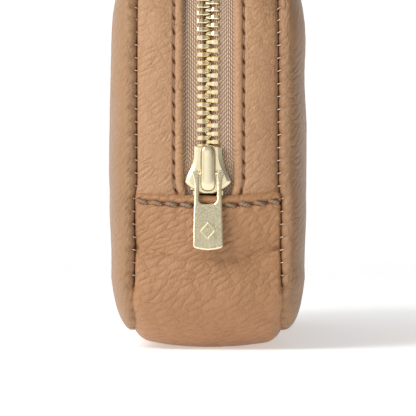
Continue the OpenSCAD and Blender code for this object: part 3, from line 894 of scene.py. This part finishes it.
def tooth_row(side):
    """Every tooth of one row: a bar that clamps the tape, and a head between its neighbours."""
    sections = TOOTH_BAR + TOOTH_HEADS[side]
    local = np.array([[(x, v, n) for v, n in octagon(half, high, chamfer)]
        for x, half, high, chamfer in sections])
    count = math.floor((ZIP_LEN - FIRST_TOOTH - 4) / TEETH_PITCH)
    first = T_ZIP + FIRST_TOOTH + (0 if side < 0 else TEETH_PITCH / 2)
    teeth = []
    for i in range(count):
        t = first + i * TEETH_PITCH
        teeth.append(loft(on_track(local + np.array([splay(t), 0, 0]), t, side)))
    add_pair(side, "tooth_row", "teeth", join(teeth), "zip_metal", tooth_metal, sharp=18)


def on_track(local, t, side=1):
    """Moves points given as (x, v along the zip, n outward) to t on the outline."""
    a = turn(t)
    y, z = place(t, 0.0)
    v, n = local[..., 1], local[..., 2]
    return np.stack([side * local[..., 0], y + v * math.sin(a) + n * math.cos(a),
        z - v * math.cos(a) + n * math.sin(a)], -1)


for side in HANDS:
    tooth_row(side)


def clip(x0, x1, v, n):
    """A small crimped metal block with cut corners, from x0 to x1."""
    ends = [(x0, 0.8), (x0 + 0.25, 1.0), (x1 - 0.25, 1.0), (x1, 0.8)]
    return np.array([[(x, a, b) for a, b in octagon(v * k, n * k, 0.3)] for x, k in ends])


stop_low, stop_high = span("top_stops")
stop_t = T_EDGE + (stop_low[2] + stop_high[2]) / 2 - EDGE_Z
top_clips = [loft(on_track(clip(2.9, 4.5, 1.25, 1.0), stop_t, side)) for side in HANDS]
add_piece("top_stop_clips", "top_stops", join(top_clips), "zip_metal", tooth_metal, sharp=28)
bottom_block = loft(on_track(clip(-3.1, 3.1, 1.2, 1.3), T_STOP - 2))
add_piece("bottom_stop_block", "bottom_stop", bottom_block, "zip_metal", tooth_metal, sharp=28)


# Threads

def strand_tube(path, radius, sides=6):
    """A closed tube round a path of points."""
    along = unit(np.gradient(path, axis=0))
    side = unit(np.cross(along, [0.3, 0.5, 0.81]))
    up = np.cross(along, side)
    a = np.linspace(0, 2 * np.pi, sides, endpoint=False)[None, :, None]
    return loft(path[:, None] + radius * (np.cos(a) * side[:, None] + np.sin(a) * up[:, None]))


def twisted(path, radius, lay_length=1.5, across=(0.01, 0.02, 1.0)):
    """Two strands twisted round a path of points that doesn't run across."""
    along = unit(np.gradient(path, axis=0))
    side = unit(np.cross(along, across))
    up = np.cross(side, along)
    run = np.concatenate([[0], np.cumsum(np.linalg.norm(np.diff(path, axis=0), axis=1))])
    turns = [(2 * np.pi * run / lay_length + start)[:, None] for start in (0, np.pi)]
    return [path + 0.52 * radius * (np.cos(a) * side + np.sin(a) * up) for a in turns]


def stitch_path(long, arch, dive, slant, count=13):
    """A stitch that lies along v, arched on the leather, with its ends diving into the holes."""
    v = np.linspace(-long / 2, long / 2, count)
    share = np.abs(v) / (long / 2)
    n = arch * (1 - share ** 2) - dive * smooth(share, 0.72, 1.0)
    return np.stack([slant * v, v, n], -1)


def strip_stitches(side):
    parts = []
    for i in range(STRIP_COUNT):
        t = T_ZIP + 1 + (i + 0.5) * STRIP_PITCH
        x = fold_x(side, t) + STITCH_IN
        path = stitch_path(STRIP_PITCH - 1.2, 0.1, 0.9, 0.06)
        path = path + np.array([x, 0, STRIP_N - 0.28])
        for strand in twisted(path, 0.26):
            parts.append(strand_tube(on_track(strand, t, side), 0.15))
    add_pair(side, "strip_stitches", "topstitch", join(parts), "thread", top_thread)


for side in HANDS:
    strip_stitches(side)


def hem_stitches(end, word):
    """The row across the gusset's hem at end -1, near, or 1, far."""
    parts = []
    for i in range(-5, 5):
        x = (i + 0.5) * EDGE_STITCH
        if abs(x) > GUSSET_EDGE_X - 2:
            continue
        path = stitch_path(EDGE_STITCH - 1.1, 0.3, 1.1, 0.0)
        lean = -0.24 * path[:, 1]
        z = EDGE_Z - EDGE_ROW - hem_sag(x) + lean
        crown = GUSSET_CROWN * (x / GUSSET_EDGE_X) ** 2
        out = HALF_LEN + BASE_N - crown - 0.12 + path[:, 2]
        centre = np.stack([x + path[:, 1], -out, z], -1)
        for strand in twisted(centre, 0.56, 1.6, (0.0, 1.0, 0.02)):
            strand[:, 1] *= -end
            parts.append(strand_tube(strand, 0.3))
    add_piece(word + "_hem_stitches", word + "_edge_stitch", join(parts), "thread", hem_thread)


hem_stitches(-1, "near")
hem_stitches(1, "far")


def seam_stitches(side):
    """Pale thread that shows where each seam stitch bridges the groove."""
    parts = []
    share = np.linspace(0, 1, 7)
    for i in range(SEAM_COUNT):
        t = i * SEAM_PITCH
        x, crown_n = seam_x(t), crown_level(t)
        n = crown_n - 1.6 + 0.6 * share + 0.2 * np.sin(np.pi * share)
        path = np.stack([x + (-0.3 + share), -0.1 + 0.3 * share, n], -1)
        parts.append(strand_tube(on_track(path, t, side), 0.13))
    add_pair(side, "seam_stitches", "seam_thread", join(parts), "thread", seam_thread)


for side in HANDS:
    seam_stitches(side)


# The slider, in its own frame: x across, v up along the zip and n outward

NECK, TIP, TIP_V, FLANK_V = 4.05, 6.5, 3.6, 11.8
SLIDER_LEN = slider_high[2] - SLIDER_Z
PLATE_N, FLANGE_W, FLANGE_N = 1.5, 0.75, 0.6


def on_slider(p):
    """From the slider's frame to the pouch's."""
    return np.stack([p[..., 0], -HALF_LEN - p[..., 2], SLIDER_Z + p[..., 1]], -1)


def flank(v):
    """The slider's half width: straight at the neck, then flaring and upright again at the tip."""
    b = np.clip((FLANK_V - v) / (FLANK_V - TIP_V), 0, 1)
    return NECK + (TIP - NECK) * (0.594 * b ** 2 + 2.21 * b ** 3 - 1.804 * b ** 4)


def slider_outline():
    """The plates' outline, anticlockwise from the lower end."""
    v = np.linspace(TIP_V + 0.25, FLANK_V, 14)
    right = [(1.2, -0.12), (2.4, 0.05), (3.4, 0.65), (4.2, 1.3), (5.8, 2.62), (6.14, 2.96),
        (6.36, 3.26), (6.47, 3.56)]
    right += [(flank(k), k) for k in v]
    right += [(NECK - 0.02, SLIDER_LEN - 0.35), (NECK - 0.3, SLIDER_LEN)]
    return mirrored(right)


def mirrored(right):
    """A closed outline from its right half. Points on the middle line are not repeated."""
    return np.array(right + [(-x, v) for x, v in right[::-1] if x])


def inset(points, d):
    """A closed anticlockwise outline moved inward by d."""
    e1 = unit(points - np.roll(points, 1, 0))
    e2 = unit(np.roll(points, -1, 0) - points)
    n1 = np.stack([-e1[:, 1], e1[:, 0]], -1)
    n2 = np.stack([-e2[:, 1], e2[:, 0]], -1)
    both = n1 + n2
    scale = np.clip(1 + np.sum(n1 * n2, 1, keepdims=True), 0.5, None)
    return points + d * both / scale


def stack(outline, levels):
    """A solid from one outline at several (height, inset) levels."""
    rings = [np.column_stack([inset(outline, d), np.full(len(outline), n)]) for n, d in levels]
    return loft(np.array(rings))


def plate(outline, levels):
    """A plate from (height, narrowing of both flanks, shortening of both ends) levels."""
    x, v = outline.T
    rings = []
    for n, dx, dv in levels:
        across = np.sign(x) * np.maximum(np.abs(x) - dx, 0.3)
        along = np.clip(v, v.min() + dv, v.max() - dv)
        rings.append(np.column_stack([across, along, np.full(len(v), n)]))
    return loft(np.array(rings))


def slider_casting():
    outline = slider_outline()
    top = plate(outline, [(PLATE_N, 0.12, 0.12), (PLATE_N + 0.12, 0, 0), (1.9, 0, 0),
        (2.0, 0.06, 0.05), (2.46, 1.05, 0.3), (2.52, 1.2, 0.36)])
    bottom = plate(outline, [(-2.4, 0.5, 0.5), (-2.3, 0.35, 0.4), (-2.0, 0.3, 0.3),
        (-PLATE_N, 0.3, 0.3)])
    v = np.linspace(TIP_V, FLANK_V, 12)
    outer = [(flank(k), k) for k in v] + [(NECK, SLIDER_LEN)]
    inner = [(x - FLANGE_W, k) for x, k in outer[::-1]]
    parts = [top, bottom]
    wall = np.array(outer + inner)
    for wall in (wall[::-1] * [-1, 1], wall):
        parts.append(stack(wall, [(FLANGE_N, 0.12), (FLANGE_N + 0.12, 0), (PLATE_N + 0.2, 0)]))
        parts.append(stack(wall, [(-PLATE_N - 0.2, 0), (-FLANGE_N - 0.12, 0), (-FLANGE_N, 0.12)]))
    wedge = mirrored([(0.3, 1.3), (0.8, 3.4), (0.85, 4.0), (0.7, 4.6), (0, 6.4)])
    parts.append(stack(wedge, [(-PLATE_N - 0.2, 0), (PLATE_N + 0.2, 0)]))
    points, faces = join(parts)
    add_piece("slider_casting", "slider_body", (on_slider(points), faces), "slider_metal",
        slider_metal, body="slider", sharp=20)


slider_casting()

CAP_HALF, CAP_WALL = 2.22, 0.55
CAP_BASE, CAP_TOP = 2.5, 5.4
CAP_V0, CAP_V1 = cap_low[2] - SLIDER_Z, cap_high[2] - SLIDER_Z
PIVOT_V, PIVOT_N = 5.9, 3.4


def bridge_rings(shrink):
    """The cap's skin as rows along v of arches over it, drawn in by shrink."""
    half, low, high = CAP_HALF - shrink, CAP_V0 + shrink, CAP_V1 - shrink
    top = CAP_TOP - shrink
    mid, long = (low + high) / 2, (high - low) / 2
    rows = []
    for k in np.sin(angles(-90, 90, 41)):
        end = (1 - abs(k) ** 7) ** (1 / 2.6)
        arch = []
        for a in angles(0, 180, 21):
            x = half * end * np.sign(math.cos(a)) * abs(math.cos(a)) ** 0.42
            rise = abs(math.sin(a)) ** 0.5
            n = CAP_BASE - 0.1 + (top - CAP_BASE + 0.1) * rise * (0.25 + 0.75 * end ** 0.5)
            arch.append((x, mid + long * k, n))
        rows.append(arch)
    return np.array(rows)


def slider_bridge():
    """A long hollow bridge, open at both sides where the pull tab's pintle passes."""
    outer, inner = bridge_rings(0.0), bridge_rings(CAP_WALL)
    rows, cols = outer.shape[:2]
    a = np.arange(rows * cols).reshape(rows, cols)
    b = a + a.size
    v, n = ((grid[:-1, :-1] + grid[1:, 1:]) / 2 for grid in (outer[..., 1], outer[..., 2]))
    gone = np.pad((np.abs(v - PIVOT_V) < 1.05) & (n < PIVOT_N + 0.85), 1, constant_values=True)
    faces = []
    for i, j in np.ndindex(rows - 1, cols - 1):
        if gone[i + 1, j + 1]:
            continue
        corners = [(i, j), (i, j + 1), (i + 1, j + 1), (i + 1, j)]
        faces.append([int(a[c]) for c in corners])
        faces.append([int(b[c]) for c in corners[::-1]])
        # A wall between the two skins wherever the next quad is missing
        for di, dj, p, q in ((1, 0, 3, 2), (-1, 0, 1, 0), (0, -1, 0, 3), (0, 1, 2, 1)):
            if gone[i + 1 + di, j + 1 + dj]:
                p, q = corners[p], corners[q]
                faces.append([int(k) for k in (a[p], a[q], b[q], b[p])])
    points = np.concatenate([outer.reshape(-1, 3), inner.reshape(-1, 3)])
    add_piece("slider_bridge", "slider_cap", (on_slider(points), faces), "slider_metal",
        slider_metal, body="slider", sharp=45)


slider_bridge()


# The pull tab, in its own frame: x across, y up from the pivot and z outward

TAB_T, TAB_LEAN = 1.3, math.radians(9)
TAB_DROP, TAB_HALF = 22.2, 4.25
WINDOW_HALF, WINDOW_LOW = 2.55, 8.95
WAIST, SHOULDER, TAB_TOP = 3.9, 4.65, 0.85
PINTLE_R = 0.65


def arc(cx, cy, r, a0, a1, count=7):
    a = angles(a0, a1, count)
    return list(zip(cx + r * np.cos(a), cy + r * np.sin(a)))


def tab_outline():
    """The U of the tab, anticlockwise from the middle of its free end."""
    r, w = 1.1, 1.4
    right = [(0, -TAB_DROP), (2.0, 0.22 - TAB_DROP)]
    right += arc(TAB_HALF - r, 0.5 + r - TAB_DROP, r, -78, 0)
    right += [(4.2, -17.0), (4.05, -11.0), (WAIST, -6.6), (WAIST - 0.03, -4.6),
        (WAIST + 0.04, -3.2), (WAIST + 0.2, -2.0), (WAIST + 0.45, -1.0), (SHOULDER, -0.2)]
    right += arc(SHOULDER - 0.5, TAB_TOP - 0.55, 0.55, 0, 90)
    right += arc(WINDOW_HALF + 0.43, TAB_TOP - 0.55, 0.55, 90, 180)
    right += [(WINDOW_HALF - 0.12, -0.5), (WINDOW_HALF - 0.05, -1.5), (WINDOW_HALF, -2.6),
        (WINDOW_HALF, -5.0)]
    right += arc(WINDOW_HALF - w, -WINDOW_LOW + w, w, 0, -90)
    return mirrored(right)


def tab_frame(p):
    """From the tab's frame, at rest, to the pouch's."""
    y = p[..., 1] * math.cos(TAB_LEAN) + p[..., 2] * math.sin(TAB_LEAN)
    out = p[..., 2] * math.cos(TAB_LEAN) - p[..., 1] * math.sin(TAB_LEAN)
    return on_slider(np.stack([p[..., 0], PIVOT_V + y, PIVOT_N + out], -1))


def ridge(points, half, low, high):
    """A raised closed line on the tab's face, with sloping sides."""
    rings = np.array([np.column_stack([inset(points, d), np.full(len(points), z)])
        for d, z in ((-half, low), (-half / 2, high), (half / 2, high), (half, low))])
    numbers = np.arange(rings[..., 0].size).reshape(rings.shape[:2])
    return rings.reshape(-1, 3), strips_of(np.concatenate([numbers, numbers[:1]]), True)


def pull_tab():
    half_t = TAB_T / 2
    levels = [(-half_t, 0.4), (-half_t, 0.39), (-half_t + 0.14, 0.08), (-half_t + 0.3, 0.0),
        (half_t - 0.3, 0.0), (half_t - 0.14, 0.08), (half_t, 0.39), (half_t, 0.4)]
    outline = tab_outline()
    a = np.linspace(0, 2 * np.pi, 24, endpoint=False)
    pintle_ring = np.stack([0 * a, PINTLE_R * np.cos(a), PINTLE_R * np.sin(a)], -1)
    ends = [[x, 0, 0] for x in (-WINDOW_HALF - 0.6, WINDOW_HALF + 0.6)]
    pintle = loft(np.array([pintle_ring + end for end in ends]))
    lozenge = np.array([(0, -19.0), (1.9, -16.7), (0, -14.4), (-1.9, -16.7)])
    mark = ridge(lozenge, 0.26, half_t - 0.05, half_t + 0.2)
    points, faces = join([stack(outline, levels), pintle, mark])
    # Polished all over but for the two flat faces, which are the plate's first and last rings
    count = len(outline)
    polish = np.ones(len(points))
    polish[:count] = polish[(len(levels) - 1) * count:len(levels) * count] = 0
    add_piece("pull_tab_plate", "pull_tab", (tab_frame(points), faces), "slider_metal", tab_metal,
        body="pull", crease=polish, sharp=25)


pull_tab()


# Stage, light and camera

def backdrop():
    """A pale floor that sweeps up into a wall behind the pouch."""
    half, depth, bend, high, sunk = 3.0, 1.6, 0.6, 3.0, 0.0002
    a = np.linspace(0, np.pi / 2, 17)
    profile = [(-half, 0.0)] + [(depth + bend * math.sin(k), bend * (1 - math.cos(k))) for k in a]
    profile += [(depth + bend, high)]
    verts = [(x, y, z - sunk) for x in (-half, half) for y, z in profile]
    n = len(profile)
    faces = [(i, i + 1, n + i + 1, n + i) for i in range(n - 1)]
    mesh = bpy.data.meshes.new("backdrop")
    mesh.from_pydata(verts, [], faces)
    mesh.shade_smooth()
    paper = Shader("backdrop_paper", Base_Color=(0.93, 0.93, 0.93), Roughness=0.9,
        Emission_Color=(1.0, 1.0, 1.0), Emission_Strength=0.4)
    fibre = paper.noise(paper.millimetres(), 2.0, 4.0)
    mesh.materials.append(paper.finish(Normal=paper.bump(fibre, 0.05, 0.2)))
    sweep = bpy.data.objects.new("backdrop", mesh)
    bpy.context.scene.collection.objects.link(sweep)


# Each glow is a direction, the power that narrows it, and its strength
AMBIENT = 0.11
GLOWS = [((-0.66, -0.57, 0.49), 2.5, 0.83), ((-0.08, -0.99, 0.1), 40.0, 0.95),
    ((-0.77, -0.64, 0.0), 25.0, 0.45), ((0.77, -0.62, 0.12), 16.0, 0.3)]


def studio():
    """A pale surround with soft glows that the metal reflects, seen as white behind the pouch, and
    one soft light from the left."""
    bpy.context.scene.view_settings.view_transform = "Standard"
    world = bpy.data.worlds.new("studio")
    bpy.context.scene.world = world
    world.use_nodes = True
    sky = Nodes(world.node_tree)
    way = sky.add("TexCoord", {}, out="Generated")
    level = AMBIENT
    for toward, power, strength in GLOWS:
        dot = sky.add("VectorMath", {0: way, 1: toward}, out="Value", operation="DOT_PRODUCT")
        glow = sky.math("POWER", sky.math("MAXIMUM", dot, 0.0), power)
        level = sky.math("ADD", sky.times(glow, strength), level)
    seen = sky.add("LightPath", {}, out="Is Camera Ray")
    background = sky.tree.nodes["Background"]
    sky.set(background, "Strength", sky.math("MAXIMUM", seen, level))
    sky.set(background, "Color", (1, 1, 1))
    data = bpy.data.lights.new("key", "AREA")
    data.shape = "RECTANGLE"
    data.size = data.size_y = 0.4
    data.energy = 4.4
    key = bpy.data.objects.new("key", data)
    key.location = (-0.5, -0.5, 0.53)
    aim = Vector((0, -0.09, 0.05)) - key.location
    key.rotation_euler = aim.to_track_quat("-Z", "Y").to_euler()
    bpy.context.scene.collection.objects.link(key)


backdrop()
studio()

# The camera's scale at the near end, its distance from it and its height, from the photo
PX_PER_MM = 3.5
PHOTO_PX = 416
VIEW_D = 660.0
VIEW_Z = 40.7
SENSOR = 36
camera_data = bpy.data.cameras.new("camera")
camera_data.sensor_width = SENSOR
camera_data.lens = SENSOR * VIEW_D / (PHOTO_PX / PX_PER_MM)
camera_data.clip_end = 20
camera = bpy.data.objects.new("camera", camera_data)
camera.location = (0, (-HALF_LEN - VIEW_D) * MM, VIEW_Z * MM)
camera.rotation_euler = (math.pi / 2, 0, 0)
bpy.context.scene.collection.objects.link(camera)
bpy.context.scene.camera = camera
